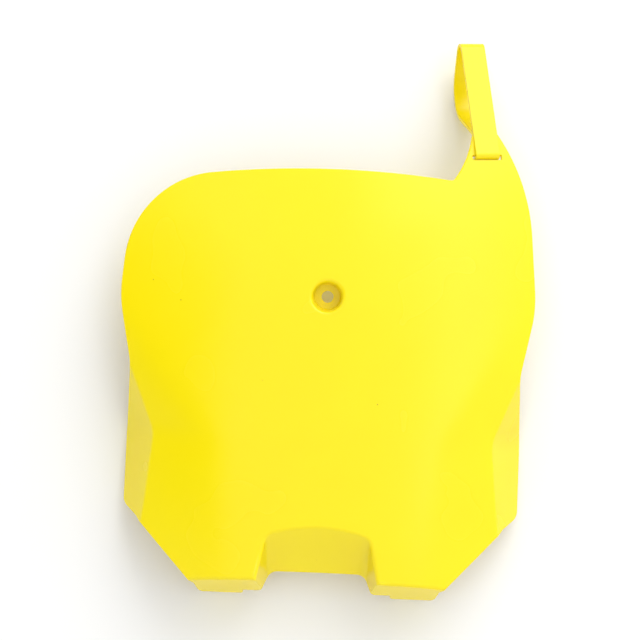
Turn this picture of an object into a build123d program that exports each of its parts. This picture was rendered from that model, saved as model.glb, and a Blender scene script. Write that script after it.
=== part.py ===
"""Front number board of a racing motorbike, moulded as one piece in polypropylene.

Millimetres. The board stands as on the motorbike: +X is to the right of someone who faces it, +Y goes back towards
the forks and +Z is up. The origin is on the axis of the bolt hole, at the seat of the bolt's head. The mould opens
along Y, so every wall flares towards the back, and outlines are drawn in the front view. Widths that start with
half are measured from the centre line, and depths grow towards the back.
"""

import math
import os

from build123d import *

# Sheet
wall = 2.6  # thickness of the board, square to its surface

# Front face
seat_depth = 10.0  # face ahead of the bolt's seat, at the hole
lean = 12.0  # degrees that the face leans back towards its top edge
crown_radius = 480.0  # round of the face from side to side
rise_radius = 1400.0  # round of the face from top to bottom
ridge_softness = 2.0  # depth over which a facet leaves the face
brow_softness = 0.6  # depth over which the two facets of a side meet

# Upper outline
half_width = 115.7  # widest place of the board
widest_height = -3.0
top_height = 71.5  # top edge on the centre line
top_arch_radius = 600.0
corner_inset = 4.0  # side edge from the widest place, where it would meet the top edge
corner_radius = 53.0
side_radius = 70.0
neck_inset = 8.2  # outline between the upper half and the wings, from the widest place
neck_height = -41.0
neck_radius = 30.0

# Facets of the lower half
shoulder_inset = 2.5  # upper end of the shoulder crease, from the widest place
shoulder_height = -10.0
crest_inset = 54.7  # upper end of the crest of a leg, from the widest place
crest_height = -79.5
crest_foot_inset = 61.7
crest_foot_height = -157.0
shoulder_fall = 0.27  # depth gained for each millimetre away from the crease
flank_fall = 0.2
crest_half_width = half_width - crest_inset
crest_foot_half_width = half_width - crest_foot_inset

# Wings, the side walls of the lower half
fold_top_inset = 10.2  # fold between face and wing, from the widest place
fold_top_height = -34.0
waist_inset = 23.4
waist_height = -77.0
waist_radius = 22.0
fold_foot_inset = 17.2
fold_foot_height = -120.0
wing_flare = 0.6  # width gained for each millimetre of depth
wing_inset = 4.4  # free edge of the wing, from the widest place
wing_height = -80.0
wing_foot_inset = 5.6
wing_foot_height = -118.8
wing_end_inset = 15.2  # where the wing's lower edge meets the leg's outer edge
wing_end_height = -123.8
wing_radius = 60.0
wing_foot_radius = 5.0

# Legs
leg_inset = 49.5  # outer edge of a leg at the bend in its bottom wall, from the widest place
leg_foot_inset = 50.7  # outer corner of the bottom wall
leg_half_width = half_width - leg_inset
leg_foot_half_width = half_width - leg_foot_inset
leg_inner_half_width = 30.5
leg_front_height = -153.0  # lower edge of the face
leg_corner_height = -157.2
leg_rear_height = -162.2  # free edge of the bottom wall
leg_flare = 0.4
leg_corner_radius = 3.0
tab_drop = 3.3  # tab below the bottom wall, at its outer end
tab_half_width = 40.5  # inner end of the tab
tab_corner_radius = 1.6

# Notch between the legs
notch_half_width = 27.5  # front edge at its upper corners
notch_height = -128.0
notch_arch = 4.4  # rise of the front edge between those corners
notch_rear_arch = 1.0
notch_rear_height = -151.6  # free edge of the sloping wall
notch_rear_half_width = 25.4
notch_side_lean = 0.18  # width gained for each millimetre downwards
notch_ramp = 0.98  # fall of the sloping wall for each millimetre of depth
notch_draft = 0.22  # width lost for each millimetre of depth
notch_corner_radius = 6.0

# Bolt cup
cup_mouth_radius = 8.4
cup_floor_radius = 6.9
cup_wall = 2.2
seat_thickness = 3.0
bolt_hole_radius = 3.25  # clearance for an M6 bolt

# Ear and strap
ear_root_inset = 48.0  # where its inner edge meets the top edge, from the widest place
ear_root_half_width = half_width - ear_root_inset
ear_inner_radius = 55.0  # hollow of its inner edge
ear_root_radius = 2.5  # between its inner edge and the top edge
strap_lean = 7.0  # degrees towards the centre line
strap_inset = 30.5  # where the strap leaves the ear, from the widest place
strap_half_width = half_width - strap_inset
strap_height = 95.0
ear_bend_drop = 57.0  # where the ear's outer edge bends away from the board's side edge, below the strap
strap_width = 13.8
strap_thickness = 1.7
strap_overlap = 4.0  # strap's root within the ear
loop_peak = 65.6  # where the two bands of the loop would meet, above the ear
loop_peak_depth = 3.5
loop_back_rise = 32.0  # where the back band would turn, above the ear
loop_back_depth = 36.0
loop_root = 1.5  # straight run above the ear
loop_root_radius = 5.0
loop_back_radius = 20.0
loop_peak_radius = 5.0
loop_slot_radius = 1.6
strap_gap = 0.3  # front band clear of the ear
slot_drop = 13.4  # slot below the end of the ear
slot_clearance = 0.6
slot_end_clearance = 1.6
tail_length = 11.0  # strap's end behind the ear
barb_thickness = 4.2
barb_length = 5.0

# Rounded edges
edge_radius = 1.2  # along the outline
fold_radius = 2.0  # between the face and the walls that fold back from it
cup_lip_radius = 1.8
edge_lead = 0.08  # outline's block ahead of the face, so that its rounding meets the face at an angle

# Room around the board for the cutting solids
margin = 14.0
block_depth = 130.0
patch = 6.5  # spacing of the points that the face runs through


def soft_lesser(a, b):
    """Lesser of two depths, blended where they cross."""
    return (a + b - math.hypot(a - b, brow_softness)) / 2


def soft_positive(a):
    """A depth where it is positive, or else nothing, blended where it crosses zero."""
    return (a + math.hypot(a, ridge_softness)) / 2


def face_depth(x, z):
    """Depth of the front face at a place in the front view."""
    side = abs(x)
    crowned = side**2 / (2 * crown_radius) + z**2 / (2 * rise_radius) + z * math.tan(math.radians(lean)) - seat_depth
    shoulder_run = half_width - shoulder_inset - crest_half_width
    shoulder_rise = shoulder_height - crest_height
    past_shoulder = (side - crest_half_width) * shoulder_rise - (z - crest_height) * shoulder_run
    past_shoulder /= math.hypot(shoulder_run, shoulder_rise)
    crest_spread = (crest_half_width - crest_foot_half_width) / (crest_height - crest_foot_height)
    past_crest = side - crest_half_width - (z - crest_height) * crest_spread
    return crowned + soft_positive(soft_lesser(shoulder_fall * past_shoulder, flank_fall * past_crest))


def face_slopes(x, z):
    """Depth gained along X and along Z at a place on the front face."""
    step = 0.5
    along_x = (face_depth(x + step, z) - face_depth(x - step, z)) / (2 * step)
    along_z = (face_depth(x, z + step) - face_depth(x, z - step)) / (2 * step)
    return along_x, along_z


def face_surface(inset):
    """The front face as one smooth surface, moved back by an inset that is square to it."""
    reach = half_width + margin
    lowest = leg_rear_height - tab_drop - margin
    highest = strap_height + margin
    columns = math.ceil(reach / patch)
    rows = math.ceil((highest - lowest) / patch)
    points = []
    for column in range(-columns, columns + 1):
        x = column * patch
        line = []
        for row in range(rows + 1):
            z = lowest + row * patch
            along_x, along_z = face_slopes(x, z)
            line.append(Vector(x, face_depth(x, z) + inset * math.sqrt(1 + along_x**2 + along_z**2), z))
        points.append(line)
    return Face.make_surface_from_array_of_points(points)


def front_view(depth):
    """Plane of the front view at a depth, with its normal towards the viewer."""
    return Plane.XZ.offset(-depth)


fold_depth = face_depth(half_width - waist_inset, waist_height)
leg_front_depth = face_depth(crest_foot_half_width, leg_front_height)
notch_front_depth = face_depth(notch_half_width, notch_height)
front_depth = leg_front_depth - margin
back_depth = front_depth + block_depth


def tub_points(inset, depth):
    """Right half of the walls' outline at a depth, from the top down, moved in by an inset square to the walls."""
    top = strap_height + 2 * margin
    wing_shift = wing_flare * (depth - fold_depth) - inset * math.hypot(1, wing_flare)
    leg_shift = leg_flare * (depth - leg_front_depth) - inset * math.hypot(1, leg_flare)
    bottom = leg_front_height - leg_shift
    upper_slope = (waist_inset - fold_top_inset) / (fold_top_height - waist_height)
    lower_slope = (waist_inset - fold_foot_inset) / (fold_foot_height - waist_height)
    upper_shift = wing_shift * math.hypot(1, upper_slope)
    lower_shift = wing_shift * math.hypot(1, lower_slope)
    waist_rise = (lower_shift - upper_shift) / (upper_slope - lower_slope)
    waist = half_width - waist_inset
    return [
        (waist + upper_shift + upper_slope * (top - waist_height), top),
        (waist + upper_shift + upper_slope * waist_rise, waist_height + waist_rise),
        (waist + lower_shift + lower_slope * (bottom - waist_height), bottom),
    ]


def mirrored(points):
    """Points of the right half, followed by their mirror images in the reverse order."""
    return points + [(-x, z) for x, z in reversed(points)]


def tub(inset):
    """Solid between the wings and above the leg bottoms, moved in by an inset."""
    with BuildPart() as block:
        for depth in (front_depth, back_depth):
            points = tub_points(inset, depth)
            with BuildSketch(front_view(depth)) as section:
                with BuildLine():
                    Polyline(*mirrored(points), close=True)
                make_face()
                waist_corners = section.vertices().sort_by(lambda v: abs(v.Y - points[1][1]))[:2]
                fillet(waist_corners, waist_radius)
        loft(ruled=True)
    return block.part


def notch(growth):
    """Space between the legs, with its walls moved out by a growth square to them."""
    foot = leg_rear_height - margin
    ceiling_growth = growth * math.hypot(1, notch_ramp)
    side_growth = growth * math.hypot(math.hypot(1, notch_draft), notch_side_lean)
    rear_depth = notch_front_depth + (notch_height - notch_rear_height) / notch_ramp
    arch_loss = (notch_arch - notch_rear_arch) / (rear_depth - notch_front_depth)
    with BuildPart() as space:
        for depth in (notch_front_depth - margin / 2, rear_depth + wall + ceiling_growth):
            back = depth - notch_front_depth
            ceiling = notch_height - notch_ramp * back + ceiling_growth
            at_ceiling = notch_half_width - notch_draft * back + side_growth
            at_ceiling += notch_side_lean * (notch_height - ceiling)
            at_foot = at_ceiling + notch_side_lean * (ceiling - foot)
            arch = max(notch_arch - arch_loss * back, notch_rear_arch / 2)
            with BuildSketch(front_view(depth)) as section:
                with BuildLine():
                    ThreePointArc((-at_ceiling, ceiling), (0, ceiling + arch), (at_ceiling, ceiling))
                    Polyline((at_ceiling, ceiling), (at_foot, foot), (-at_foot, foot), (-at_ceiling, ceiling))
                make_face()
                fillet(section.vertices().group_by(Axis.Y)[-1], notch_corner_radius + growth)
        loft(ruled=True)
    return space.part


def top_edge(x):
    """Height of the arched top edge."""
    return top_height - top_arch_radius + math.sqrt(top_arch_radius**2 - x**2)


def ear_edge():
    """Right end of the top edge, in the front view: round the ear from its root to the board's side edge."""
    lean_angle = math.radians(strap_lean)
    half_neck = strap_width / 2 + slot_clearance
    neck_run = half_neck * math.cos(lean_angle)
    neck_rise = half_neck * math.sin(lean_angle)
    inner_neck = Vector(strap_half_width - neck_run, strap_height - neck_rise)
    outer_neck = Vector(strap_half_width + neck_run, strap_height + neck_rise)
    corner = half_width - corner_inset
    side = Vector(half_width, widest_height)
    side_direction = Vector(-corner_inset, top_edge(corner) - widest_height).normalized()
    bend = side + side_direction * ((strap_height - ear_bend_drop - widest_height) / side_direction.Y)
    root = Vector(ear_root_half_width, top_edge(ear_root_half_width))
    with BuildLine() as edge:
        ThreePointArc((-corner, top_edge(corner)), (0, top_height), root)
        RadiusArc(root, inner_neck, -ear_inner_radius)
        Line(inner_neck, outer_neck)
        TangentArc(bend, outer_neck, tangent=side_direction)
        Line(bend, side)
    return edge.edges()


def plan():
    """Everything behind the outline of the board and its ear in the front view."""
    corner = half_width - corner_inset
    half_edge = [
        (half_width, widest_height),
        (half_width - neck_inset, neck_height),
        (half_width - wing_inset, wing_height),
        (half_width - wing_foot_inset, wing_foot_height),
        (half_width - wing_end_inset, wing_end_height),
        (leg_half_width, leg_corner_height),
        (leg_foot_half_width, leg_rear_height - tab_drop),
        (tab_half_width, leg_rear_height - tab_drop),
        (tab_half_width, leg_rear_height),
        (leg_inner_half_width, leg_rear_height),
        (notch_rear_half_width, notch_rear_height),
    ]
    radii = {
        0: side_radius,
        1: neck_radius,
        2: wing_radius,
        3: wing_foot_radius,
        6: leg_corner_radius,
        7: tab_corner_radius,
        9: leg_corner_radius,
        10: notch_corner_radius,
    }
    with BuildPart() as block:
        with BuildSketch(front_view(back_depth)) as outline:
            with BuildLine():
                add(ear_edge())
                Polyline(*mirrored(half_edge), (-corner, top_edge(corner)))
            make_face()
            for index, radius in radii.items():
                x, z = half_edge[index]
                ends = outline.vertices().sort_by(lambda v: math.hypot(abs(v.X) - x, v.Y - z))[:2]
                fillet(ends, radius)
            left_corner = outline.vertices().sort_by_distance((-corner, top_edge(corner)))[0]
            fillet(left_corner, corner_radius)
            root = outline.vertices().sort_by_distance((ear_root_half_width, top_edge(ear_root_half_width)))[0]
            fillet(root, ear_root_radius)
        extrude(amount=block_depth)
    return block.part


def strap_frame():
    """Right, up and outward directions of the strap, and the middle of the ear's thickness where it leaves."""
    along_x, along_z = face_slopes(strap_half_width, strap_height)
    lean_angle = math.radians(strap_lean)
    up_x = -math.sin(lean_angle)
    up_z = math.cos(lean_angle)
    up = Vector(up_x, along_x * up_x + along_z * up_z, up_z).normalized()
    outward = Vector(along_x, -1, along_z).normalized()
    on_face = Vector(strap_half_width, face_depth(strap_half_width, strap_height), strap_height)
    return up.cross(outward), up, outward, on_face - outward * (wall / 2)


def front_edges(block):
    """Edges around the front face of a block that stands behind it, but for its far top edge."""
    front = block.faces().filter_by(GeomType.BSPLINE).sort_by(SortBy.AREA)[-1]
    return front.edges().filter_by(lambda edge: (edge @ 0.5).Z < strap_height)


# Cutting solids, each in the board's frame
body_plan = plan()
outer_tub = tub(0)
inner_tub = tub(wall)
outer_notch = notch(0)
inner_notch = notch(wall)
face = face_surface(0)
lead_face = face_surface(-edge_lead)
back_face = face_surface(wall)

# Outline of the board and its ear, as a block with a rounded front edge
with BuildPart() as sheet:
    extrude(lead_face, amount=block_depth, dir=(0, 1, 0))
    add(body_plan, mode=Mode.INTERSECT)
    fillet(front_edges(sheet), edge_radius)

# Board as one block behind the front face
with BuildPart() as blank:
    extrude(face, amount=block_depth, dir=(0, 1, 0))
    add(outer_tub, mode=Mode.INTERSECT)
    add(outer_notch, mode=Mode.SUBTRACT)
    fillet(front_edges(blank), fold_radius)
    add(sheet.part, mode=Mode.INTERSECT)

# Room behind the sheet, which leaves the walls and a boss for the bolt cup
with BuildPart() as hollow:
    extrude(back_face, amount=block_depth, dir=(0, 1, 0))
    add(inner_tub, mode=Mode.INTERSECT)
    add(inner_notch, mode=Mode.SUBTRACT)
    with BuildSketch(front_view(seat_thickness)):
        Circle(cup_mouth_radius + cup_wall)
    extrude(amount=block_depth, mode=Mode.SUBTRACT)

right, up, outward, strap_root = strap_frame()
front_band = wall / 2 + strap_gap + strap_thickness / 2

with BuildPart() as number_board:
    add(blank.part)
    add(hollow.part, mode=Mode.SUBTRACT)

    # Bolt cup and its hole
    with BuildSketch(Plane.XY):
        with BuildLine():
            draft = (cup_mouth_radius - cup_floor_radius) / seat_depth
            Polyline(
                (0, 0),
                (cup_floor_radius, 0),
                (cup_mouth_radius + draft * margin, -seat_depth - margin),
                (0, -seat_depth - margin),
                close=True,
            )
        make_face()
    revolve(axis=Axis.Y, mode=Mode.SUBTRACT)
    lip = number_board.edges().sort_by_distance((0, -seat_depth, cup_mouth_radius))[0]
    fillet(lip, cup_lip_radius)
    with BuildSketch(front_view(0)):
        Circle(bolt_hole_radius)
    extrude(amount=-2 * seat_thickness, mode=Mode.SUBTRACT)

    # Slot in the ear for the strap's end
    with BuildSketch(Plane(strap_root, x_dir=right, z_dir=outward)):
        with Locations((0, -slot_drop)):
            Rectangle(strap_width + 2 * slot_end_clearance, strap_thickness + 2 * slot_clearance)
    extrude(amount=wall, both=True, mode=Mode.SUBTRACT)

    # Strap, bent into a loop that ends behind the slot
    with BuildSketch(Plane(strap_root, x_dir=up, z_dir=right)):
        with BuildLine():
            FilletPolyline(
                (-strap_overlap, 0),
                (loop_root, 0),
                (loop_back_rise, -loop_back_depth),
                (loop_peak, -loop_peak_depth),
                (-slot_drop, front_band + strap_gap),
                (-slot_drop, -tail_length),
                radius=[loop_root_radius, loop_back_radius, loop_peak_radius, loop_slot_radius],
            )
        trace(line_width=strap_thickness)
    extrude(amount=strap_width / 2, both=True)
    with BuildSketch(Plane(strap_root, x_dir=up, z_dir=right)):
        with BuildLine():
            Polyline(
                (-slot_drop - barb_thickness / 2, barb_length - tail_length),
                (-slot_drop + barb_thickness / 2, barb_length - tail_length),
                (-slot_drop + strap_thickness / 2, -tail_length),
                (-slot_drop - strap_thickness / 2, -tail_length),
                close=True,
            )
        make_face()
    extrude(amount=strap_width / 2, both=True)

number_board.part.label = "number_board"

os.makedirs("parts", exist_ok=True)
export_step(number_board.part, "parts/number_board.step")
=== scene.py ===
import math

import bmesh
import bpy
from bpy.props import FloatProperty, FloatVectorProperty, PointerProperty
from bpy.types import Operator, Panel, PropertyGroup
from mathutils import Matrix, Vector


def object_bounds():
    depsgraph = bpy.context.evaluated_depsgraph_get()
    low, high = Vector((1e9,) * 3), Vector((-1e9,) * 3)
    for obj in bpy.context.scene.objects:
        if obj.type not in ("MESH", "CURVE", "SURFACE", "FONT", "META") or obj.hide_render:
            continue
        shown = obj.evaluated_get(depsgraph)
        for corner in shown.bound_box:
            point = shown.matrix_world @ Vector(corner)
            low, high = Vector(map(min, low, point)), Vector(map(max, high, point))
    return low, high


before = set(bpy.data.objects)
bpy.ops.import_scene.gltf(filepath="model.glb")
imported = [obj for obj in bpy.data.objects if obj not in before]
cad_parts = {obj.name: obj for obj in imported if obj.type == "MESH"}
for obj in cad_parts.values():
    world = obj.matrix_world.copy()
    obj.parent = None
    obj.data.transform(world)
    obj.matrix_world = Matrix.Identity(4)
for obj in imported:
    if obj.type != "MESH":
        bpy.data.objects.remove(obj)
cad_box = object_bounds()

bl_info = {
    "name": "Racing number board",
    "version": (1, 0, 0),
    "blender": (4, 5, 0),
    "location": "View3D > Sidebar > Number board",
    "description": "Finishes a moulded front number board and sets it on a white sheet under soft light",
    "category": "Object",
}

MM = 0.001
PICTURE_SIDE = 36.0  # width of the camera's sensor, in millimetres
CAMERA_TARGET = Vector((-3.7, 0.0, -13.0)) * MM  # middle of the picture

# Skin of the plastic
GLOSS_SPREAD = 0.05  # roughness above and below its middle value
WAVE_HEIGHT = 0.3 * MM
WAVE_STRENGTH = 0.25
GRAIN_HEIGHT = 0.04 * MM
GRAIN_STRENGTH = 0.12
SPECK_RADIUS = 0.56 * MM
SPECK_CORE_RADIUS = 0.24 * MM  # within it the speck has its full shade
SPECK_SHADE = 0.7  # share of the speck's colour at its core
SPECK_CHOICE = 0.82  # cells above this value, of all from 0 to 1, have a speck

# Sheet behind the board
SHEET_TILT = math.radians(9.3)
SHEET_HALF_SIDE = 1.2
SHEET_GAP = 0.5 * MM  # the sheet's middle behind the depth of the board's rearmost point
SHEET_DROP = 33 * MM  # the sheet's middle below the top of the board

# Lamps and card around the board, in metres
KEY_PLACE = Vector((0.7, -1.02, 1.78))
KEY_SIDE = 1.6
RIGHT_STRIP_PLACE = Vector((0.7, -1.36, 0.47))
LEFT_STRIP_PLACE = Vector((-0.62, -1.39, 0.47))
STRIP_WIDTH = 0.35
STRIP_HEIGHT = 1.0
FLAG_PLACE = Vector((-0.68, -0.77, 0.2))
FLAG_HALF_SIDE = 0.36


def linear(code):
    """Linear colour of an sRGB hex value."""
    channels = [int(code[place:place + 2], 16) / 255 for place in (1, 3, 5)]
    return [c / 12.92 if c <= 0.04045 else ((c + 0.055) / 1.055) ** 2.4 for c in channels]


def opaque(colour):
    """A colour with full cover, as colour sockets take it."""
    return (*colour, 1.0)


def add_node(tree, kind, settings=None, values=None, links=None):
    """Add a node with its settings and socket values, and link its inputs from other nodes."""
    node = tree.nodes.new(kind)
    for name, value in (settings or {}).items():
        setattr(node, name, value)
    for name, value in (values or {}).items():
        node.inputs[name].default_value = value
    for name, socket in (links or {}).items():
        tree.links.new(socket, node.inputs[name])
    return node


def empty_material(name):
    """A material with no nodes yet."""
    material = bpy.data.materials.new(name)
    material.use_nodes = True
    material.node_tree.nodes.clear()
    return material


class PlasticSettings(PropertyGroup):
    """Finish of the moulded plastic."""

    colour: FloatVectorProperty(
        name="Colour",
        description="Pigment of the plastic",
        subtype="COLOR",
        size=3,
        min=0.0,
        max=1.0,
        default=linear("#FFF00C"),
    )
    deep_colour: FloatVectorProperty(
        name="Deep colour",
        description="Pigment where the melt flowed last and the colour is denser",
        subtype="COLOR",
        size=3,
        min=0.0,
        max=1.0,
        default=linear("#FEEB08"),
    )
    speck_colour: FloatVectorProperty(
        name="Speck colour",
        description="Burnt specks and dust that were moulded in",
        subtype="COLOR",
        size=3,
        min=0.0,
        max=1.0,
        default=linear("#8F7A1C"),
    )
    gloss_roughness: FloatProperty(
        name="Roughness",
        description="Roughness of the polished mould's skin",
        default=0.26,
        min=0.0,
        max=1.0,
        subtype="FACTOR",
    )
    cloudiness: FloatProperty(
        name="Cloudiness",
        description="Share of the light that goes through the skin and spreads on the other side",
        default=0.25,
        min=0.0,
        max=1.0,
        subtype="FACTOR",
    )
    edge_softness: FloatProperty(
        name="Edge softness",
        description="Radius that the mould leaves on edges with no rounding of their own",
        default=0.5 * MM,
        unit="LENGTH",
    )
    flow_width: FloatProperty(
        name="Flow width",
        description="Width of the soft streaks of the melt",
        default=55 * MM,
        unit="LENGTH",
    )
    ripple_width: FloatProperty(
        name="Ripple width",
        description="Spacing of the shallow waves that shrinking leaves in the gloss",
        default=34 * MM,
        unit="LENGTH",
    )
    grain_width: FloatProperty(
        name="Grain width",
        description="Spacing of the fine grain of the skin",
        default=0.9 * MM,
        unit="LENGTH",
    )
    speck_spacing: FloatProperty(
        name="Speck spacing",
        description="Spacing of the places where a speck may lie",
        default=16 * MM,
        unit="LENGTH",
    )


class StageSettings(PropertyGroup):
    """Sheet, lamps and camera."""

    sheet_colour: FloatVectorProperty(
        name="Sheet colour",
        description="Paper that the board lies on",
        subtype="COLOR",
        size=3,
        min=0.0,
        max=1.0,
        default=linear("#EEEEED"),
    )
    room_colour: FloatVectorProperty(
        name="Room colour",
        description="Light that comes from the room",
        subtype="COLOR",
        size=3,
        min=0.0,
        max=1.0,
        default=linear("#FFFFFF"),
    )
    room_strength: FloatProperty(
        name="Room strength",
        description="Level of the light from the room",
        default=1.1,
        min=0.0,
    )
    key_power: FloatProperty(
        name="Key power",
        description="Power of the soft box at the upper right",
        default=22.0,
        unit="POWER",
    )
    right_strip_power: FloatProperty(
        name="Right strip power",
        description="Power of the strip that draws the gloss on the right side",
        default=1.3,
        unit="POWER",
    )
    left_strip_power: FloatProperty(
        name="Left strip power",
        description="Power of the strip that draws the gloss on the left side",
        default=0.8,
        unit="POWER",
    )
    flag_colour: FloatVectorProperty(
        name="Flag colour",
        description="Card at the left that takes light away",
        subtype="COLOR",
        size=3,
        min=0.0,
        max=1.0,
        default=linear("#1C1C1C"),
    )
    camera_distance: FloatProperty(
        name="Camera distance",
        description="Camera to the middle of the picture",
        default=800 * MM,
        unit="LENGTH",
    )
    picture_width: FloatProperty(
        name="Picture width",
        description="What the picture spans at that distance",
        default=353.4 * MM,
        unit="LENGTH",
    )
    camera_turn: FloatProperty(
        name="Camera turn",
        description="Camera to the right of the bolt's axis",
        default=math.radians(0.94),
        subtype="ANGLE",
    )
    camera_roll: FloatProperty(
        name="Camera roll",
        description="Lean of the board in the picture",
        default=math.radians(2.18),
        subtype="ANGLE",
    )


class NUMBER_BOARD_OT_plastic(Operator):
    """Give the board the finish of moulded yellow polypropylene"""

    bl_idname = "number_board.plastic"
    bl_label = "Finish the plastic"

    def execute(self, context):
        plastic = context.scene.number_board_plastic
        board = bpy.data.objects["number_board"]
        material = moulded_polypropylene(plastic)
        board.data.materials.clear()
        board.data.materials.append(material)
        return {"FINISHED"}


def moulded_polypropylene(plastic):
    """Polypropylene, injection moulded in a polished mould.

    The pigment is strong but the resin is cloudy, so some light goes through: walls glow and the shadow
    behind them is warm. The skin is glossy, with shallow waves where it shrank, a fine grain, and a few
    burnt specks.
    """
    material = empty_material("moulded_yellow_polypropylene")
    tree = material.node_tree
    place = add_node(tree, "ShaderNodeTexCoord").outputs["Object"]

    # Soft streaks where the melt flowed
    flow = add_node(
        tree,
        "ShaderNodeTexNoise",
        values={"Scale": 1 / plastic.flow_width, "Detail": 2.0, "Roughness": 0.45, "Distortion": 0.8},
        links={"Vector": place},
    )
    streaks = add_node(
        tree,
        "ShaderNodeMix",
        settings={"data_type": "RGBA"},
        values={6: opaque(plastic.colour), 7: opaque(plastic.deep_colour)},
        links={0: flow.outputs["Fac"]},
    )

    # A speck lies in a few of the cells, chosen by the red of the cell's colour
    cells = add_node(
        tree,
        "ShaderNodeTexVoronoi",
        values={"Scale": 1 / plastic.speck_spacing},
        links={"Vector": place},
    )
    chance = add_node(tree, "ShaderNodeSeparateColor", links={"Color": cells.outputs["Color"]})
    chosen = add_node(
        tree,
        "ShaderNodeMath",
        settings={"operation": "GREATER_THAN"},
        values={1: SPECK_CHOICE},
        links={0: chance.outputs["Red"]},
    )
    dot = add_node(
        tree,
        "ShaderNodeMapRange",
        values={
            "From Min": SPECK_RADIUS / plastic.speck_spacing,
            "From Max": SPECK_CORE_RADIUS / plastic.speck_spacing,
            "To Min": 0.0,
            "To Max": SPECK_SHADE,
        },
        links={"Value": cells.outputs["Distance"]},
    )
    speck = add_node(
        tree,
        "ShaderNodeMath",
        settings={"operation": "MULTIPLY"},
        links={0: chosen.outputs["Value"], 1: dot.outputs["Result"]},
    )
    colour = add_node(
        tree,
        "ShaderNodeMix",
        settings={"data_type": "RGBA"},
        values={7: opaque(plastic.speck_colour)},
        links={0: speck.outputs["Value"], 6: streaks.outputs[2]},
    )

    # Gloss that is a little uneven
    ripple = add_node(
        tree,
        "ShaderNodeTexNoise",
        values={"Scale": 1 / plastic.ripple_width, "Detail": 1.0, "Roughness": 0.4},
        links={"Vector": place},
    )
    gloss = add_node(
        tree,
        "ShaderNodeMapRange",
        settings={"clamp": False},
        values={
            "To Min": plastic.gloss_roughness - GLOSS_SPREAD,
            "To Max": plastic.gloss_roughness + GLOSS_SPREAD,
        },
        links={"Value": ripple.outputs["Fac"]},
    )

    # Rounded edges, then waves, then grain
    edges = add_node(
        tree,
        "ShaderNodeBevel",
        settings={"samples": 6},
        values={"Radius": plastic.edge_softness},
    )
    waves = add_node(
        tree,
        "ShaderNodeBump",
        values={"Strength": WAVE_STRENGTH, "Distance": WAVE_HEIGHT},
        links={"Height": ripple.outputs["Fac"], "Normal": edges.outputs["Normal"]},
    )
    grain = add_node(
        tree,
        "ShaderNodeTexNoise",
        values={"Scale": 1 / plastic.grain_width, "Detail": 2.0, "Roughness": 0.5},
        links={"Vector": place},
    )
    skin = add_node(
        tree,
        "ShaderNodeBump",
        values={"Strength": GRAIN_STRENGTH, "Distance": GRAIN_HEIGHT},
        links={"Height": grain.outputs["Fac"], "Normal": waves.outputs["Normal"]},
    )
    surface = add_node(
        tree,
        "ShaderNodeBsdfPrincipled",
        values={"IOR": 1.49},
        links={
            "Base Color": colour.outputs[2],
            "Roughness": gloss.outputs["Result"],
            "Normal": skin.outputs["Normal"],
        },
    )

    # Light that the cloudy resin lets through
    through = add_node(
        tree,
        "ShaderNodeBsdfTranslucent",
        links={"Color": colour.outputs[2], "Normal": skin.outputs["Normal"]},
    )
    plastic_wall = add_node(
        tree,
        "ShaderNodeMixShader",
        values={0: plastic.cloudiness},
        links={1: surface.outputs["BSDF"], 2: through.outputs["BSDF"]},
    )
    add_node(tree, "ShaderNodeOutputMaterial", links={"Surface": plastic_wall.outputs["Shader"]})
    return material


class NUMBER_BOARD_OT_stage(Operator):
    """Lay a white sheet behind the board and set up soft light and the camera"""

    bl_idname = "number_board.stage"
    bl_label = "Set the stage"

    def execute(self, context):
        scene = context.scene
        stage = scene.number_board_stage
        lay_sheet(scene, stage)
        light_room(scene, stage)
        hang_lamp(scene, "key_soft_box", stage.key_power, KEY_SIDE, KEY_SIDE, KEY_PLACE)
        hang_lamp(scene, "right_strip", stage.right_strip_power, STRIP_WIDTH, STRIP_HEIGHT, RIGHT_STRIP_PLACE)
        hang_lamp(scene, "left_strip", stage.left_strip_power, STRIP_WIDTH, STRIP_HEIGHT, LEFT_STRIP_PLACE)
        stand_flag(scene, stage)
        set_camera(scene, stage)
        scene.view_settings.view_transform = "Standard"
        return {"FINISHED"}


def lay_sheet(scene, stage):
    """Sheet just behind the back of the strap's loop and the wings, seen from its front only."""
    high = Vector(cad_box[1])
    middle = Vector((0, high.y + SHEET_GAP, high.z - SHEET_DROP))
    right = Vector((SHEET_HALF_SIDE, 0, 0))
    up = Vector((0, math.sin(SHEET_TILT), math.cos(SHEET_TILT))) * SHEET_HALF_SIDE
    corners = (middle - right - up, middle + right - up, middle + right + up, middle - right + up)
    paper = bmesh.new()
    paper.faces.new([paper.verts.new(corner) for corner in corners])
    mesh = bpy.data.meshes.new("white_sheet")
    paper.to_mesh(mesh)
    paper.free()
    mesh.materials.append(matt_paper(stage))
    sheet = bpy.data.objects.new("white_sheet", mesh)
    scene.collection.objects.link(sheet)


def matt_paper(stage):
    """Matt white paper on a roll, which shows nothing but its shade, and nothing from behind."""
    material = empty_material("matt_white_paper")
    tree = material.node_tree
    front = add_node(tree, "ShaderNodeBsdfDiffuse", values={"Color": opaque(stage.sheet_colour)})
    back = add_node(tree, "ShaderNodeBsdfTransparent")
    facing = add_node(tree, "ShaderNodeNewGeometry")
    sides = add_node(
        tree,
        "ShaderNodeMixShader",
        links={0: facing.outputs["Backfacing"], 1: front.outputs["BSDF"], 2: back.outputs["BSDF"]},
    )
    add_node(tree, "ShaderNodeOutputMaterial", links={"Surface": sides.outputs["Shader"]})
    return material


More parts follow.
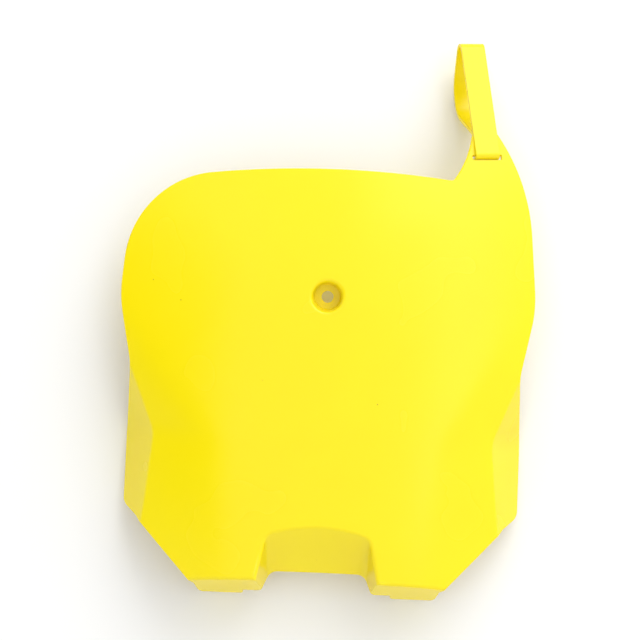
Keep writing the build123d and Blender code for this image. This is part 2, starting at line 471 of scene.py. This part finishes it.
def light_room(scene, stage):
    """Even light from all round, in front of white."""
    world = bpy.data.worlds.new("white_room")
    world.use_nodes = True
    tree = world.node_tree
    tree.nodes.clear()
    ray = add_node(tree, "ShaderNodeLightPath")
    mirrored = add_node(
        tree,
        "ShaderNodeMath",
        settings={"operation": "MAXIMUM"},
        links={0: ray.outputs["Is Glossy Ray"], 1: ray.outputs["Is Transmission Ray"]},
    )
    seen = add_node(
        tree,
        "ShaderNodeMath",
        settings={"operation": "MAXIMUM"},
        links={0: ray.outputs["Is Camera Ray"], 1: mirrored.outputs["Value"]},
    )
    room = add_node(
        tree,
        "ShaderNodeBackground",
        values={"Color": opaque(stage.room_colour), "Strength": stage.room_strength},
    )
    white = add_node(tree, "ShaderNodeBackground", values={"Color": (1.0, 1.0, 1.0, 1.0), "Strength": 1.0})
    either = add_node(
        tree,
        "ShaderNodeMixShader",
        links={0: seen.outputs["Value"], 1: room.outputs["Background"], 2: white.outputs["Background"]},
    )
    add_node(tree, "ShaderNodeOutputWorld", links={"Surface": either.outputs["Shader"]})
    scene.world = world


def hang_lamp(scene, name, power, width, height, place):
    """A soft box that faces the board."""
    lamp = bpy.data.lights.new(name, "AREA")
    lamp.shape = "RECTANGLE"
    lamp.size = width
    lamp.size_y = height
    lamp.energy = power
    box = bpy.data.objects.new(name, lamp)
    box.location = place
    box.rotation_euler = (-place).to_track_quat("-Z", "Y").to_euler()
    scene.collection.objects.link(box)


def stand_flag(scene, stage):
    """Dark card at the left, unseen by the camera, which shades the board's left side and its gloss."""
    card = bmesh.new()
    bmesh.ops.create_grid(card, x_segments=1, y_segments=1, size=FLAG_HALF_SIDE)
    mesh = bpy.data.meshes.new("side_flag")
    card.to_mesh(mesh)
    card.free()
    mesh.materials.append(matt_card(stage))
    flag = bpy.data.objects.new("side_flag", mesh)
    flag.location = FLAG_PLACE
    flag.rotation_euler = (-FLAG_PLACE).to_track_quat("Z", "Y").to_euler()
    flag.visible_camera = False
    scene.collection.objects.link(flag)


def matt_card(stage):
    """Matt dark card, which gives the eye nothing but a soft dark side."""
    material = empty_material("matt_dark_card")
    tree = material.node_tree
    card = add_node(tree, "ShaderNodeBsdfDiffuse", values={"Color": opaque(stage.flag_colour)})
    add_node(tree, "ShaderNodeOutputMaterial", links={"Surface": card.outputs["BSDF"]})
    return material


def set_camera(scene, stage):
    """Camera in front of the board, turned and rolled as the picture needs."""
    ahead = Vector((-math.sin(stage.camera_turn), math.cos(stage.camera_turn), 0.0))
    lens = bpy.data.cameras.new("camera")
    lens.sensor_width = PICTURE_SIDE
    lens.lens = PICTURE_SIDE * stage.camera_distance / stage.picture_width
    camera = bpy.data.objects.new("camera", lens)
    place = Matrix.Translation(CAMERA_TARGET - ahead * stage.camera_distance)
    turn = ahead.to_track_quat("-Z", "Y").to_matrix().to_4x4()
    camera.matrix_world = place @ turn @ Matrix.Rotation(stage.camera_roll, 4, "Z")
    scene.collection.objects.link(camera)
    scene.camera = camera


class NUMBER_BOARD_PT_sidebar(Panel):
    """Number board's finish and stage"""

    bl_idname = "NUMBER_BOARD_PT_sidebar"
    bl_label = "Number board"
    bl_space_type = "VIEW_3D"
    bl_region_type = "UI"
    bl_category = "Number board"

    def draw(self, context):
        for operator, settings in (
            (NUMBER_BOARD_OT_plastic, context.scene.number_board_plastic),
            (NUMBER_BOARD_OT_stage, context.scene.number_board_stage),
        ):
            column = self.layout.column()
            for name in settings.__annotations__:
                column.prop(settings, name)
            column.operator(operator.bl_idname)


CLASSES = (
    PlasticSettings,
    StageSettings,
    NUMBER_BOARD_OT_plastic,
    NUMBER_BOARD_OT_stage,
    NUMBER_BOARD_PT_sidebar,
)


def register():
    """Add the settings, operators and panel."""
    for item in CLASSES:
        bpy.utils.register_class(item)
    bpy.types.Scene.number_board_plastic = PointerProperty(type=PlasticSettings)
    bpy.types.Scene.number_board_stage = PointerProperty(type=StageSettings)


def unregister():
    """Take them away again."""
    del bpy.types.Scene.number_board_stage
    del bpy.types.Scene.number_board_plastic
    for item in reversed(CLASSES):
        bpy.utils.unregister_class(item)


def main():
    """Finish the board and set its stage."""
    register()
    bpy.ops.number_board.plastic()
    bpy.ops.number_board.stage()


if __name__ == "__main__":
    main()
